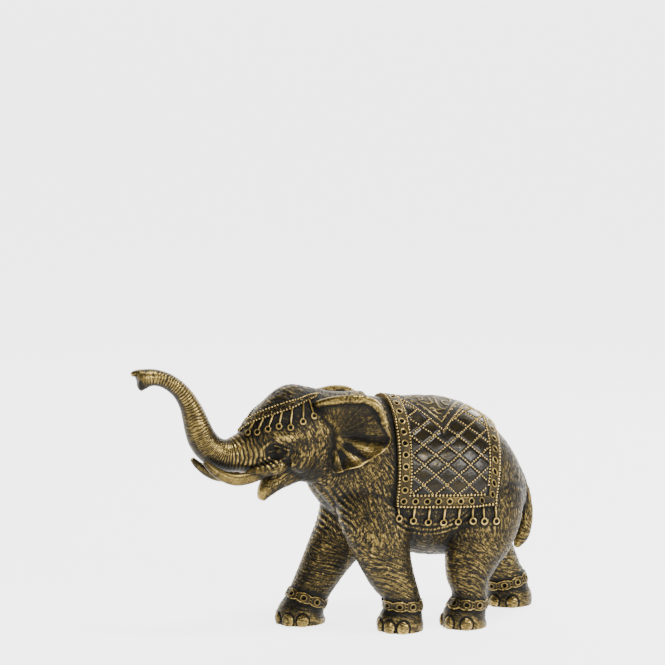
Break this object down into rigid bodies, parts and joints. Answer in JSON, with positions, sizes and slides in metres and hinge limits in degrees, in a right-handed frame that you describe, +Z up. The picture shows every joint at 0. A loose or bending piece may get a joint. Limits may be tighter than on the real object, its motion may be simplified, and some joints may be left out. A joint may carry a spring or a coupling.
{
  "type": "elephant figurine",
  "caption": "Antiqued cast elephant figurine walking with its trunk raised, with relief saddle cloth, headband and anklets.",
  "frame": {"origin": "on the surface that it stands on, under the middle of its box", "axes": "+X towards the tail, so the figure faces -X; +Y towards its right side; +Z up"},
  "size_m": [0.2614, 0.0752, 0.1583],
  "materials": {
    "antique_brass": "antiqued, dark in the recesses and rubbed bright on the high relief"
  },
  "bodies": {
    "root": {"elephant": "antique_brass"}
  },
  "joints": []
}
